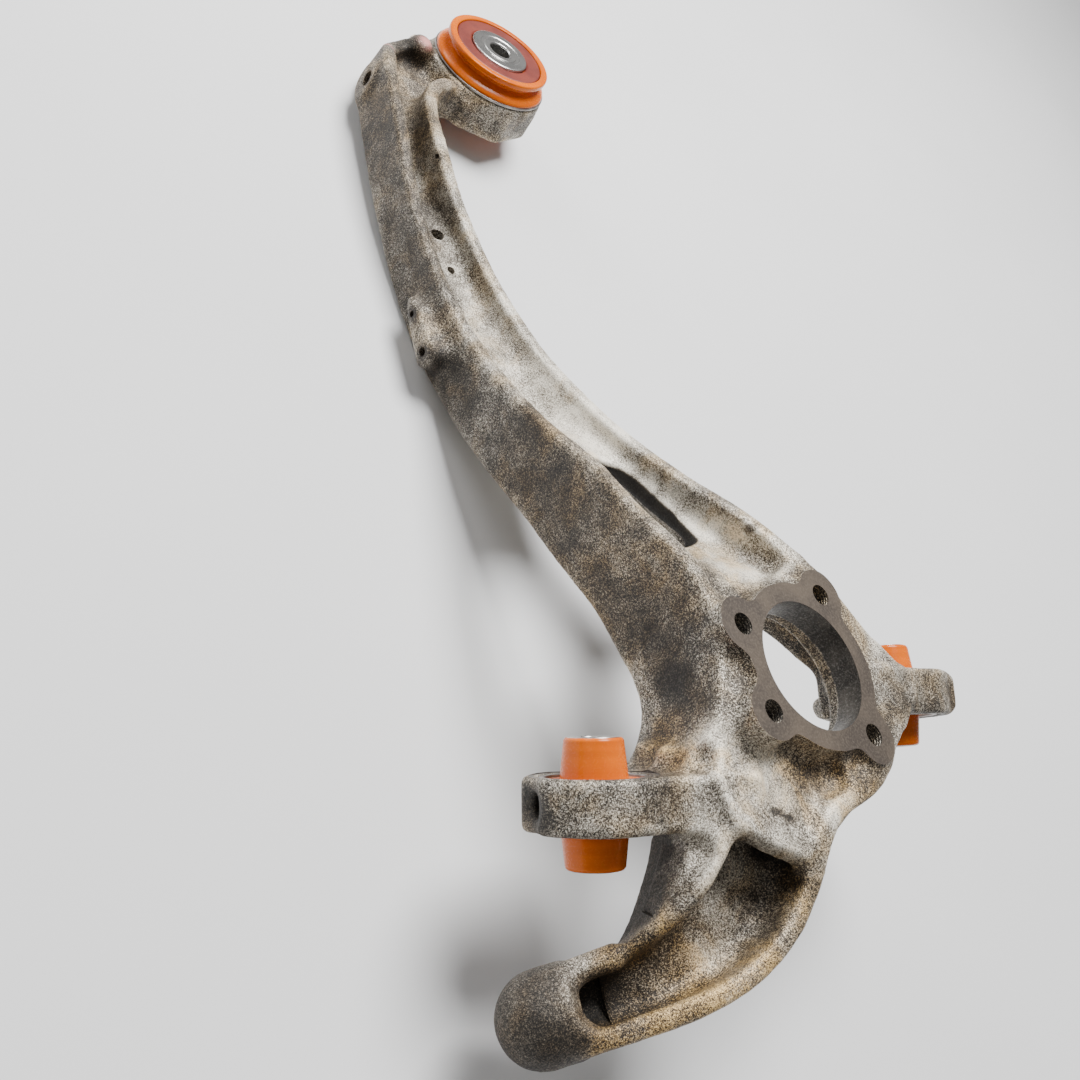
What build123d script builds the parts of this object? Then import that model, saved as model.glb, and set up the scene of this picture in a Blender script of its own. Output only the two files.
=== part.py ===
from build123d import *
from math import cos, hypot, radians, sin
import os

# Rear suspension control arm (trailing arm), left and right are mirror images and this is one of them.
# Units are millimetres. The origin is the centre of the hub bore on the machined outer face.
# +Z is the hub axis, pointing outward. +X runs from the hub towards the front bush.
# +Y is the side of the lower link eye and of the damper horn. The casting is drawn along Z,
# so its walls are upright and its webs lie across.

# ---- driving dimensions: hub carrier -------------------------------------------------
hub_bore_radius = 31.0
hub_plate_depth = 15.0
hub_relief_radius = 34.0
hub_tube_depth = 22.0
hub_bolt_depth = 24.0
hub_disc_radius = 40.0
hub_ear_radius = 13.0
hub_bolt_circle_radius = 42.5
hub_bolt_radius = 5.25
hub_pattern_angle = 94.3
hub_upper_half_angle = 28.0
hub_lower_half_angle = 54.2

# ---- driving dimensions: casting -----------------------------------------------------
wall = 9.0
web = 9.0
hood_top = -13.0
draft = 1.2
foot_taper = 2.5

# ---- driving dimensions: front bush --------------------------------------------------
front_centre = Vector(471.9, 0.0, -88.5)
front_axis = Vector(0.146, 0.069, 0.987)
front_rim_radius = 36.2
front_neck_radius = 32.0
front_skirt_radius = 39.5
front_lip_radius = 40.3
front_lip_top = 14.0
front_lip_thickness = 1.5
front_shell_outer = 34.0
front_shell_inner = 32.0
front_eye_bottom = 41.5
front_eye_top_radius = 41.0
front_eye_foot_radius = 36.0
front_block_radius = 37.8
front_split = 27.0
front_washer_radius = 19.9
front_washer_thickness = 3.0
front_sleeve_outer = 12.0
front_bolt_radius = 7.1
front_thrust_radius = 31.0
front_thrust_depth = 3.5

# ---- driving dimensions: the two link bushes -----------------------------------------
lower_centre = Vector(-44.3, 99.5, -51.9)
lower_axis = Vector(0.936, 0.041, 0.3595)
eye_dish_direction = Vector(0.05, 0.97, -0.235)
upper_centre = Vector(2.0, -103.1, -36.0)
upper_axis = Vector(0.964, 0.022, 0.262)
link_eye_radius = 30.0
lower_eye_half = 11.3
upper_eye_half = 11.5
link_shell_outer = 22.8
link_shell_inner = 20.8
lower_shell_half = 10.7
upper_shell_half = 10.9
link_sleeve_outer = 11.0
link_bolt_radius = 6.1
lower_sleeve_half = 26.7
upper_sleeve_half = 25.9
link_cone_base = 14.2
link_cone_tip = 12.3

bracket_hole_radius = 3.2

running_gap = 0.05
face_gap = 0.2

# ---- driving dimensions: damper horn -------------------------------------------------
horn_tip = Vector(-119.0, 116.5, -91.0)
horn_direction = Vector(-0.07, 0.82, -0.57)
horn_boss_radius = 19.5
horn_boss_length = 12.5
horn_thread_radius = 7.0
horn_thread_depth = 22.0
horn_pocket_radius = 9.5

os.makedirs("parts", exist_ok=True)


# ---- small helpers -------------------------------------------------------------------
def ribbon(stations, side, thickness=wall, lean=draft, foot=foot_taper, ruled=False):
    """An upright wall along its outer crest line. A station is x, y, top z, bottom z."""
    sections = []
    last = len(stations) - 1
    for index, (x, y, top, bottom) in enumerate(stations):
        before = stations[max(index - 1, 0)]
        after = stations[min(index + 1, last)]
        run_x = after[0] - before[0]
        run_y = after[1] - before[1]
        run = hypot(run_x, run_y)
        inward_x = -side * run_y / run
        inward_y = side * run_x / run
        inner_foot = thickness - foot
        outline = [
            (x, y, top),
            (x + inward_x * thickness, y + inward_y * thickness, top),
            (x + inward_x * inner_foot, y + inward_y * inner_foot, bottom),
            (x - inward_x * lean, y - inward_y * lean, bottom),
        ]
        sections.append(Wire(Polyline(*outline, close=True)))
    return Solid.make_loft(sections, ruled)


def cross_web(stations, thickness=web):
    """A web across the arm. A station is x, lower y, upper y and the top z there."""
    sections = []
    for x, y_low, y_high, top in stations:
        outline = [
            (x, y_low, top),
            (x, y_high, top),
            (x, y_high, top - thickness),
            (x, y_low, top - thickness),
        ]
        sections.append(Wire(Polyline(*outline, close=True)))
    return Solid.make_loft(sections, False)


def plate(outline, bottom, top):
    """A flat plate with a plan outline, between two heights."""
    face = make_face(Polyline(*outline, close=True))
    return extrude(Plane.XY.offset(bottom) * face, top - bottom)


def rod(start, end, radius):
    """A round bar between two points."""
    run = end - start
    return extrude(Plane(origin=start, z_dir=run) * Circle(radius), run.length)


def along(centre, axis):
    """The plane that stands on a bush axis, with its local x in the row's XY plane or along Y."""
    x_hint = Vector(0, 1, 0) - axis * (axis.dot(Vector(0, 1, 0)) / axis.dot(axis))
    return Plane(origin=centre, x_dir=x_hint, z_dir=axis)


def turned(profile, plane):
    """A solid of revolution: profile points are radius, height along the plane's normal."""
    face = make_face(Polyline(*[(radius, 0, height) for radius, height in profile], close=True))
    return plane * revolve(face, Axis.Z)


front_plane = Plane(origin=front_centre, x_dir=Vector(front_axis.Z, 0, -front_axis.X), z_dir=front_axis)
lower_plane = along(lower_centre, lower_axis)
upper_plane = along(upper_centre, upper_axis)
pad_face = 10.0
pad_hole_depth = 14.0
pad_plane = Plane(origin=(241, 80, -119), x_dir=(0.997, 0.075, 0.0), z_dir=(-0.075, 0.997, 0))
stub_centre = Vector(468.8, 51.3, -101.5)

hub_bolt_angles = (
    hub_pattern_angle - hub_upper_half_angle,
    hub_pattern_angle + hub_upper_half_angle,
    hub_pattern_angle + 180 - hub_lower_half_angle,
    hub_pattern_angle + 180 + hub_lower_half_angle,
)
hub_bolts = [
    (hub_bolt_circle_radius * cos(radians(angle)), hub_bolt_circle_radius * sin(radians(angle)))
    for angle in hub_bolt_angles
]


# ---- the casting, region by region ---------------------------------------------------
def hub_carrier():
    """The machined face with its four ears, on a short thick tube."""
    outline = Circle(hub_disc_radius)
    for place in hub_bolts:
        outline += Pos(*place) * Circle(hub_ear_radius)
    return extrude(Plane.XY.offset(-hub_tube_depth) * outline, hub_tube_depth)


def hood():
    """The webs that join the hub carrier to the walls around it."""
    valley = plate(
        [(44, 50), (-20, 50), (-44, 66), (-66, 62), (-76, 42), (-82, 26), (-70, 0), (-52, -30), (-30, -54),
         (0, -62), (28, -50), (46, -34)],
        -hub_bolt_depth, hood_top,
    )
    shoulder = plate(
        [(-46, -40), (-27, -57), (-8, -70), (10, -68), (31, -50), (52, -34), (60, -22), (44, 4), (-40, 0), (-57, -20)],
        -hub_bolt_depth, -5,
    )
    return valley + shoulder


def lower_wall():
    """The long outer wall on the +Y side, from the lower link neck round the front end."""
    return ribbon([
        (-30, 66, -16, -69), (-14, 56, -9, -63.5), (8, 52, -6, -60), (31, 52, -5, -66), (57, 56, -11, -72),
        (83, 61, -24, -82), (113, 64, -38, -94), (148, 69, -59, -109), (180, 72, -76, -122),
        (214, 74, -91, -133), (245, 79, -99, -138), (285, 85, -102, -139), (330, 91, -100, -135),
        (380, 93, -95, -132), (420, 92, -95, -131), (443, 87, -98.5, -132), (460, 77.5, -107, -133),
        (472, 65, -110.5, -134), (480, 53, -113, -135), (486, 41, -117, -136),
    ], -1)


def upper_wall():
    """The outer wall on the -Y side, from the upper link neck to the front eye."""
    return ribbon([
        (6, -72, -5, -44), (21, -60, -5, -42), (40, -46, -5, -48), (57, -31, -5, -56), (70, -20, -8, -64),
        (86, -12, -15, -69), (107, -4, -29, -73), (130, 3, -44, -82), (156, 11, -59, -95),
        (190, 19, -75, -111), (225, 27, -88, -126), (256, 34, -95, -137), (287, 42, -98, -140),
        (310, 49, -97, -139), (335, 55.5, -95, -136), (360, 60, -92, -134), (388, 60.5, -93, -134),
        (410, 56, -95, -134), (424, 47, -97, -135), (433, 34, -100, -136),
    ], 1, foot=0.5)


def rear_wall():
    """The short wall behind the hub, from the upper link neck to the horn."""
    return ribbon([
        (-12, -74, -6, -40), (-29, -60, -5, -38), (-47, -39, -4, -38), (-59.5, -19, -4, -42),
        (-68, 3, -6, -50), (-84, 12, -13, -60), (-103, 21, -23, -68), (-121, 43, -31, -80),
        (-131, 69, -42, -92), (-135, 94, -57, -104), (-137, 112, -71, -110),
    ], -1)


def horn():
    """The hollow horn that carries the damper: an inner wall, a floor and a solid domed end."""
    inner = ribbon([
        (-50, 56, -18, -78), (-66, 63, -17.5, -81), (-80, 72, -25, -84), (-90.5, 81, -37, -87),
        (-96.5, 90, -52, -92), (-100.5, 100, -65, -100), (-103.5, 113, -80, -108),
    ], 1, thickness=5.5, lean=-8.0, foot=-12.0)
    outer = ribbon([
        (-50, 62, -30, -52), (-64, 70, -30, -56), (-77, 76, -35, -60), (-88, 81, -42, -66), (-95, 88, -52, -72),
    ], 1, thickness=7, lean=-3.0, foot=-3.0)
    rim = rod(Vector(-105, 108, -77), Vector(-102.5, 93.5, -66), 5.5)
    sections = []
    for x_outer, y_outer, x_inner, y_inner, top in (
        (-62, 10, -50, 50, -32), (-82, 17, -70, 60, -40), (-101, 27, -85, 70, -48), (-117, 46, -94, 81, -57),
        (-126, 71, -100, 90, -69), (-130, 93, -104, 100, -84), (-132, 112, -106, 112, -100),
    ):
        outline = [
            (x_outer, y_outer, top),
            (x_inner, y_inner, top),
            (x_inner, y_inner, top - web),
            (x_outer, y_outer, top - web),
        ]
        sections.append(Wire(Polyline(*outline, close=True)))
    floor = Solid.make_loft(sections, True)
    back = horn_direction.normalized() * horn_boss_length
    boss = rod(horn_tip - back, horn_tip, horn_boss_radius)
    return inner + outer + rim + floor + boss + Pos(*horn_tip) * Sphere(horn_boss_radius)


def arm_webs():
    """The floor of the channel between the two long walls, with a cross rib at the window's hub end."""
    floor = cross_web([
        (36, -36, 50, -13), (48, -32, 51, -14.5), (56, -27, 52, -18.5), (63, -22, 53, -25), (71, -16, 54, -31),
        (80, -13, 55, -35.5), (92, -7, 56, -42), (104, -1, 58, -48.5), (118, 2, 60, -55.5), (134, 6, 62, -63),
        (170, 17, 67, -84), (205, 25, 69, -99), (250, 35, 75, -110), (290, 46, 81, -112), (335, 59, 87, -115),
        (385, 63, 88, -115), (425, 52, 87, -117), (446, 36, 80, -119),
    ])
    front = plate([(436, 30), (440, 82), (460, 70), (474, 56), (482, 42), (486, 26), (470, 10)], -128, -118)
    rib = plate([(59, 54), (61, 28), (67, 14), (73, 4), (80.5, 8), (74, 20), (70, 31), (68, 45), (67, 54)], -50, -34)
    return floor + front + rib


def window():
    """The opening between the two walls beside the hub."""
    return plate([(88.5, 7.5), (80.5, 8), (77, 13), (74, 20), (70, 31), (68, 42), (69, 49), (80, 52), (104, 55),
                  (124, 58), (134, 54), (138, 44), (139, 30), (136, 21), (128, 15.5), (113, 11.5), (102, 8.5)], -130, -5)


def upper_bank():
    """The slope that joins the inner face of the -Y wall to the web and the window's edge."""
    sections = []
    for x, y, width, top, bottom in (
        (60, -24, 8, -11, -26), (74, -15, 12, -14, -36), (86, -7, 11, -20, -42), (100, -2, 8, -30, -50),
        (115, 3, 7, -39, -57), (130, 9, 6, -48, -64), (150, 16, 8, -60, -75), (175, 24, 9, -73, -88),
        (205, 31, 9, -85, -101), (235, 37, 8, -94, -110), (262, 43, 6, -100, -114),
    ):
        outline = [(x, y - 3, bottom), (x, y + width, bottom), (x, y, top), (x, y - 3, top)]
        sections.append(Wire(Polyline(*outline, close=True)))
    return Solid.make_loft(sections, True)


def front_eye():
    """The eye for the front bush: a round top on an eight-sided body."""
    top = front_lip_top + front_lip_thickness
    block = Pos(-4, 2, -front_eye_bottom) * extrude(
        RegularPolygon(front_block_radius, 8, major_radius=False, rotation=10), front_eye_bottom - top - 7, taper=-1
    )
    crown = turned([(0, -top), (front_eye_top_radius - 1, -top), (front_eye_top_radius, -top - 1.5),
                    (front_eye_top_radius, -top - 9), (front_eye_foot_radius + 1.5, -front_eye_bottom + 3),
                    (front_eye_foot_radius, -front_eye_bottom), (0, -front_eye_bottom)], front_plane)
    return front_plane * block + crown


def lower_eye():
    """The eye of the lower link with its thick neck."""
    disc = extrude(lower_plane * Circle(link_eye_radius), lower_eye_half, both=True)
    neck = make_face(Polyline((2, 30), (-20, 31), (-36, 36), (-56, 42), (-56, -24), (-30, -28), (2, -30), close=True))
    return disc + extrude(lower_plane * neck, lower_eye_half, both=True)


def upper_eye():
    """The eye of the upper link with its neck, a squared nub on its end and a small cable lug."""
    disc = extrude(upper_plane * Circle(link_eye_radius), upper_eye_half, both=True)
    neck = make_face(Polyline((-2, 29), (20, 29), (34, 31), (50, 31), (50, -6), (30, -16), (10, -27), (-2, -29),
                              close=True))
    nub = make_face(Polyline((-14, 24), (-24, 25), (-28.5, 6), (-30.5, -8), (-26, -14), (-16, -22), close=True))
    lug = rod(Vector(4, -90, -50), Vector(3, -72, -60), 5.5)
    flare = plate([(-31, -57), (-17, -70), (-10, -82), (2, -84), (6, -78), (10, -71), (22, -59), (8, -50)], -34, -6)
    return (disc + extrude(upper_plane * neck, upper_eye_half, both=True)
            + extrude(upper_plane * nub, 8, both=True) + lug + flare)


def bosses():
    """Small cast features: the line bracket tab, the two-hole pad, the front stub, lug and corner boss."""
    tab = plate([(80, -10), (85, -32), (88, -42), (92, -47), (99, -48.5), (105, -45), (109, -36), (116, -20),
                 (134, -2), (134, 8), (80, 0)], -83, -74)
    leaf = make_face(Polyline((-14, 8.8), (13, 6), (25, 2), (25, -2), (13, -6), (-14, -8.8), close=True))
    leaf += Pos(-13, 0) * Circle(9) + Pos(13, 0) * Circle(6)
    pad = pad_plane * extrude(leaf, pad_face, both=True)
    stub_foot = rod(stub_centre + Vector(0, 0, -18), stub_centre + Vector(0, 0, -4), 7.5)
    stub_head = Pos(*stub_centre) * extrude(Plane.XY.offset(-4) * Circle(7.5), 4, taper=30)
    lug = rod(Vector(492, 39, -136), Vector(492, 39, -119), 7.5)
    corner = rod(Vector(426, 84, -117.4), Vector(428, 94.3, -117), 12)
    return tab + pad + stub_foot + stub_head + lug + corner


def casting_holes():
    """Every hole that is drilled or cored in the casting."""
    holes = extrude(Plane.XY.offset(-60) * Circle(hub_bore_radius), 70)
    holes += extrude(Plane.XY.offset(-60) * Circle(hub_relief_radius), 60 - hub_plate_depth)
    for x, y in hub_bolts:
        holes += rod(Vector(x, y, -hub_bolt_depth), Vector(x, y, 10), hub_bolt_radius)
    holes += extrude(front_plane.offset(-front_eye_bottom - 20) * Circle(front_shell_outer), 30 + front_eye_bottom)
    holes += extrude(lower_plane * Circle(link_shell_outer), 40, both=True)
    holes += extrude(upper_plane * Circle(link_shell_outer), 40, both=True)
    way = horn_direction.normalized()
    mouth = horn_tip - way * horn_boss_length
    holes += rod(mouth - way * 4, mouth + way * horn_thread_depth, horn_thread_radius)
    holes += rod(mouth - way * 14, mouth, horn_pocket_radius)
    holes += rod(Vector(97, -39, -90), Vector(97, -39, -70), bracket_hole_radius)
    holes += pad_plane * Pos(13, 0, pad_face - pad_hole_depth / 2) * Cylinder(1.9, pad_hole_depth)
    holes += pad_plane * Pos(-12, 0, pad_face - pad_hole_depth / 2) * Cylinder(2.75, pad_hole_depth)
    holes += rod(Vector(313, 66, -130), Vector(313, 66, -100), 4.0)
    holes += rod(Vector(287.5, 62, -130), Vector(287.5, 62, -100), 2.5)
    holes += rod(Vector(426.3, 96, -113.1), Vector(424, 81, -113.9), 5)
    holes += rod(Vector(356.6, 72.5, -94.5), Vector(357.6, 65, -95.8), 1.75)
    holes += Pos(*(lower_centre + eye_dish_direction.normalized() * 52.5)) * Sphere(26)
    return holes


def arm_casting():
    """The whole casting as one solid."""
    body = hub_carrier() + hood()
    body += lower_wall()
    body += upper_wall()
    body += rear_wall()
    body += arm_webs()
    body += upper_bank()
    body -= window()
    body += lower_wall()
    body += upper_wall()
    body += horn()
    body += front_eye()
    body += lower_eye()
    body += upper_eye()
    body += bosses()
    return body - casting_holes()


# ---- the front bush ------------------------------------------------------------------
def front_bush_shell():
    """The steel outer sleeve, with a thin lip on the casting's face."""
    lip_bottom = front_lip_top + front_lip_thickness
    return turned([
        (front_shell_inner, -front_lip_top), (front_lip_radius, -front_lip_top), (front_lip_radius, -lip_bottom),
        (front_shell_outer, -lip_bottom), (front_shell_outer, -front_eye_bottom - 1),
        (front_shell_inner, -front_eye_bottom - 1),
    ], front_plane)


def front_bush_flanged_half():
    """The outer polyurethane half, with a rim, a waist and a skirt that sits on the shell."""
    bore = front_sleeve_outer + running_gap
    return turned([
        (bore, -front_split), (front_shell_inner, -front_split), (front_shell_inner, -front_lip_top),
        (front_skirt_radius, -front_lip_top), (front_skirt_radius, -front_lip_top + 1.6),
        (front_skirt_radius - 1.2, -11.2), (front_neck_radius + 1, -8.4), (front_neck_radius, -7.6),
        (front_neck_radius, -6.6), (front_rim_radius - 1.6, -4.4), (front_rim_radius, -3.2), (front_rim_radius, -1.0),
        (front_rim_radius - 1.0, 0), (front_thrust_radius, 0), (front_thrust_radius, -front_thrust_depth),
        (bore, -front_thrust_depth),
    ], front_plane)


def front_bush_plain_half():
    """The inner polyurethane half, flush with the back of the eye."""
    bore = front_sleeve_outer + running_gap
    bottom = front_eye_bottom + 1.5
    return turned([
        (bore, -bottom), (front_shell_inner - 3, -bottom), (front_shell_inner, -bottom + 2),
        (front_shell_inner, -front_split - face_gap), (bore, -front_split - face_gap),
    ], front_plane)


def front_bush_thrust_ring():
    """The darker ring let into the outer face, around the steel washer."""
    return turned([
        (front_washer_radius + 0.4, -front_thrust_depth + face_gap), (front_thrust_radius - 0.15, -front_thrust_depth + face_gap),
        (front_thrust_radius - 0.15, -0.9), (front_thrust_radius - 0.9, -0.5), (front_washer_radius + 1.2, -0.7),
        (front_washer_radius + 0.4, -1.6),
    ], front_plane)


def front_bush_sleeve():
    """The steel sleeve that the bolt goes through."""
    bottom = front_eye_bottom + 1.5 + face_gap + front_washer_thickness
    return turned([
        (front_bolt_radius, -bottom), (front_sleeve_outer, -bottom), (front_sleeve_outer, 0),
        (front_sleeve_outer - 0.4, 0.4), (front_bolt_radius + 0.8, 0.4), (front_bolt_radius, -0.4),
    ], front_plane)


def washer(top):
    """A turned steel washer, pressed on the end of the front sleeve."""
    return turned([
        (front_sleeve_outer, top - front_washer_thickness), (front_washer_radius, top - front_washer_thickness),
        (front_washer_radius, top - 0.5), (front_washer_radius - 0.5, top), (front_sleeve_outer, top),
    ], front_plane)


# ---- the link bushes, the same at both eyes ------------------------------------------
def link_shell(plane, half):
    """The steel outer sleeve pressed into a link eye."""
    edge = 0.6
    return turned([
        (link_shell_inner + edge, -half), (link_shell_outer - edge, -half), (link_shell_outer, -half + edge),
        (link_shell_outer, half - edge), (link_shell_outer - edge, half), (link_shell_inner + edge, half),
        (link_shell_inner, half - edge), (link_shell_inner, -half + edge),
    ], plane)


def link_half(plane, way, shell_half, sleeve_half):
    """One polyurethane half: a disc in the shell, a groove and a cone that reaches the sleeve's end."""
    bore = link_sleeve_outer + running_gap
    face = shell_half - 1.0
    end = sleeve_half - 0.3
    profile = [
        (bore, face_gap), (link_shell_inner, face_gap), (link_shell_inner, face - 1), (link_shell_inner - 1.2, face),
        (17.4, face - 0.8), (16.6, face - 2), (16.2, face - 5), (15.0, face - 5.4), (link_cone_base + 0.2, face - 4.4),
        (link_cone_base, face), (link_cone_tip + 0.2, end - 0.8), (link_cone_tip - 0.4, end), (bore, end),
    ]
    return turned([(radius, way * height) for radius, height in profile], plane)


def link_sleeve(plane, half):
    """The steel sleeve that a link bolt goes through."""
    return turned([
        (link_bolt_radius + 0.6, -half), (link_sleeve_outer - 0.5, -half), (link_sleeve_outer, -half + 0.5),
        (link_sleeve_outer, half - 0.5), (link_sleeve_outer - 0.5, half), (link_bolt_radius + 0.6, half),
        (link_bolt_radius, half - 0.6), (link_bolt_radius, -half + 0.6),
    ], plane)

# ---- write every node ----------------------------------------------------------------
inner_washer_top = -(front_eye_bottom + 1.5 + face_gap)
nodes = {
    "arm_casting": arm_casting(),
    "front_bush_shell": front_bush_shell(),
    "front_bush_flanged_half": front_bush_flanged_half(),
    "front_bush_plain_half": front_bush_plain_half(),
    "front_bush_thrust_ring": front_bush_thrust_ring(),
    "front_bush_sleeve": front_bush_sleeve(),
    "front_bush_outer_washer": washer(0.3),
    "front_bush_inner_washer": washer(inner_washer_top),
}
for name, plane, shell_half, sleeve_half in (
    ("lower_link", lower_plane, lower_shell_half, lower_sleeve_half),
    ("upper_link", upper_plane, upper_shell_half, upper_sleeve_half),
):
    nodes[name + "_bush_shell"] = link_shell(plane, shell_half)
    nodes[name + "_bush_front_half"] = link_half(plane, 1, shell_half, sleeve_half)
    nodes[name + "_bush_rear_half"] = link_half(plane, -1, shell_half, sleeve_half)
    nodes[name + "_bush_sleeve"] = link_sleeve(plane, sleeve_half)

for name, shape in nodes.items():
    export_step(shape, "parts/" + name + ".step")
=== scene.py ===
from math import cos, pi, radians, sin

import bpy
import numpy as np
import openvdb
from mathutils import Matrix, Vector


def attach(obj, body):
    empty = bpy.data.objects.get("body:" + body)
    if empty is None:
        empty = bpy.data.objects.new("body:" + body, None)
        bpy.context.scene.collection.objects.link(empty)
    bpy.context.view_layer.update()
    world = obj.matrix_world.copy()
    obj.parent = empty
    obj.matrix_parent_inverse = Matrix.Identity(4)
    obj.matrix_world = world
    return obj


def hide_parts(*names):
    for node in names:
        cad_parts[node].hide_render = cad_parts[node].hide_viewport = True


# Looks for the rear suspension control arm, in the CAD's own frame: the origin is in the middle of the
# hub bore's outer face, z points outward, x to the front bush and y to the lower link eye. Lengths are in
# millimetres, and MM turns them into the frame's metres. Only the lights' places and sizes, the noise
# scales and the bump distances are in metres from the start.

MM = 0.001
UP = (0.0, 0.0, 1.0)
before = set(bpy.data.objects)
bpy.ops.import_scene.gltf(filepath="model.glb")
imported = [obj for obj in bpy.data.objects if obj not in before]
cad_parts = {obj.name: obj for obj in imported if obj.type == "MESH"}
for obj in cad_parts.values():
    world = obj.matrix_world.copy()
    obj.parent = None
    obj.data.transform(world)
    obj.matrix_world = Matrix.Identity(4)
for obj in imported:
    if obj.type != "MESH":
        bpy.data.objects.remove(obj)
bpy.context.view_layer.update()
COLLECTION = bpy.context.scene.collection

# ---- dimensions shared with the CAD --------------------------------------------------
HUB_CENTRE = (0.0, 0.0, 0.0)
HUB_BORE, HUB_RELIEF, HUB_LAND = 31.0, 34.0, 15.0
HUB_BOLT_CIRCLE, HUB_BOLT, HUB_BOLT_DEPTH = 42.5, 5.25, 24.0
HUB_BOLT_ANGLES = (66.3, 122.3, 220.1, 328.5)
HUB_DISC, HUB_EAR = 40.0, 13.0
FRONT_CENTRE, FRONT_AXIS = (471.9, 0.0, -88.5), (0.146, 0.069, 0.987)
LOWER_CENTRE, LOWER_AXIS = (-44.3, 99.5, -51.9), (0.936, 0.041, 0.3595)
UPPER_CENTRE, UPPER_AXIS = (2.0, -103.1, -36.0), (0.964, 0.022, 0.262)
HORN_TIP, HORN_WAY = (-119.0, 116.5, -91.0), (-0.07, 0.82, -0.57)
FRONT_BORE = 34.0
LINK_BORE, LINK_FACE = 22.8, 27.2
LOWER_EYE_HALF, UPPER_EYE_HALF = 10.9, 11.1
PAD_WAY = (-0.075, 0.997, 0.0)
FLOOR_Z = -140.5

# Small drilled holes: a point, the axis, the cutter's two ends along it, its radius and number of sides,
# and how far round it the edge wear and the shade painted into hollows are left out.
SMALL_HOLES = (
    ((97, -39, -78), UP, -15, 15, 3.2, 64, 5.5),
    ((313, 66, -115), UP, -20, 20, 4.0, 64, 7.0),
    ((287.5, 62, -115), UP, -20, 20, 2.5, 64, 5.0),
    ((254, 81, -119), PAD_WAY, -8, 15, 1.9, 48, 4.2),
    ((229, 79.1, -119), PAD_WAY, -8, 15, 2.75, 48, 5.2),
    ((426, 94.2, -113.2), (-0.15, -0.987, -0.053), -5, 13, 5.0, 64, 7.0),
    ((356.6, 72.5, -94.5), (0.13, -0.98, -0.17), -3, 8, 1.75, 48, 3.8),
)

# ---- the foundry's marks ---------------------------------------------------------------
CAST_FILLET, FILLET_STEP = 5.5, 1.0
EDGE_ROUNDING, ROUNDING_STEP = 2.4, 0.8
BROAD_RIPPLE, FINE_RIPPLE = 0.22, 0.10
# Depth scale for the edge wear and for the shade painted into hollows.
WEAR_AND_SHADE_DEPTH = 0.9


def axes(axis):
    """Two directions square to an axis, and the axis itself."""
    z = Vector(axis).normalized()
    x = z.orthogonal().normalized()
    return x, z.cross(x), z


def placement(centre, axis):
    """The matrix that puts a lathe piece's own z on an axis of the row frame."""
    x, y, z = axes(axis)
    turn = Matrix((x, y, z)).transposed().to_4x4()
    return Matrix.Translation(Vector(centre) * MM) @ turn


def mesh_object(name, points, faces, matrix=None):
    mesh = bpy.data.meshes.new(name)
    mesh.from_pydata([tuple(p) for p in points], [], [tuple(f) for f in faces])
    mesh.validate()
    mesh.update()
    made = bpy.data.objects.new(name, mesh)
    COLLECTION.objects.link(made)
    if matrix is not None:
        made.matrix_world = matrix
    return made


def array_mesh(name, points, triangles, quads):
    """A mesh object straight from arrays, for the big casting mesh."""
    mesh = bpy.data.meshes.new(name)
    corners = len(triangles) * 3 + len(quads) * 4
    loops = np.concatenate([triangles.ravel(), quads.ravel()]).astype(np.int32)
    sizes = np.concatenate([np.full(len(triangles), 3), np.full(len(quads), 4)]).astype(np.int32)
    starts = np.concatenate([[0], np.cumsum(sizes)[:-1]]).astype(np.int32)
    mesh.vertices.add(len(points))
    mesh.loops.add(corners)
    mesh.polygons.add(len(sizes))
    mesh.vertices.foreach_set("co", np.ascontiguousarray(points, np.float32).ravel())
    mesh.loops.foreach_set("vertex_index", loops)
    mesh.polygons.foreach_set("loop_start", starts)
    mesh.update(calc_edges=True)
    made = bpy.data.objects.new(name, mesh)
    COLLECTION.objects.link(made)
    return made


# ---- the casting: cast fillets and rounded edges from the CAD solid --------------------
def triangles_of(made):
    mesh = made.data
    mesh.calc_loop_triangles()
    points = np.empty(len(mesh.vertices) * 3, np.float32)
    mesh.vertices.foreach_get("co", points)
    corners = np.empty(len(mesh.loop_triangles) * 3, np.int32)
    mesh.loop_triangles.foreach_get("vertices", corners)
    return points.reshape(-1, 3).astype(float), corners.reshape(-1, 3).astype(np.uint32)


def offset_surface(points, triangles, quads, step, distance):
    """The surface at a signed distance from a closed mesh. step and distance are in millimetres."""
    band = abs(distance) / step + 3.0
    transform = openvdb.createLinearTransform(voxelSize=step)
    grid = openvdb.FloatGrid.createLevelSetFromPolygons(
        points, triangles=triangles, quads=quads, transform=transform, halfWidth=band)
    points, triangles, quads = grid.convertToPolygons(isovalue=distance, adaptivity=0.0)
    return points, np.ascontiguousarray(triangles[:, ::-1]), np.ascontiguousarray(quads[:, ::-1])


def cylinder(name, start, end, radius, segments=128):
    """A closed cylinder between two points, used as a cutter or a stock piece."""
    start, end = Vector(start), Vector(end)
    x, y, _ = axes(end - start)
    rim = [x * cos(2 * pi * i / segments) + y * sin(2 * pi * i / segments) for i in range(segments)]
    points = [(start + r * radius) for r in rim] + [(end + r * radius) for r in rim]
    faces = [tuple(reversed(range(segments))), tuple(range(segments, 2 * segments))]
    for i in range(segments):
        j = (i + 1) % segments
        faces.append((i, j, segments + j, segments + i))
    return mesh_object(name, points, faces)


def combine(target, other, operation):
    """Boolean of two closed meshes, applied at once; the second object is used up."""
    modifier = target.modifiers.new("cut", "BOOLEAN")
    modifier.operation = operation
    modifier.solver = "MANIFOLD"
    modifier.object = other
    graph = bpy.context.evaluated_depsgraph_get()
    result = bpy.data.meshes.new_from_object(target.evaluated_get(graph))
    target.modifiers.clear()
    target.data = result
    bpy.data.objects.remove(other)


def hub_bolt(angle):
    return (HUB_BOLT_CIRCLE * cos(radians(angle)), HUB_BOLT_CIRCLE * sin(radians(angle)))


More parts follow.
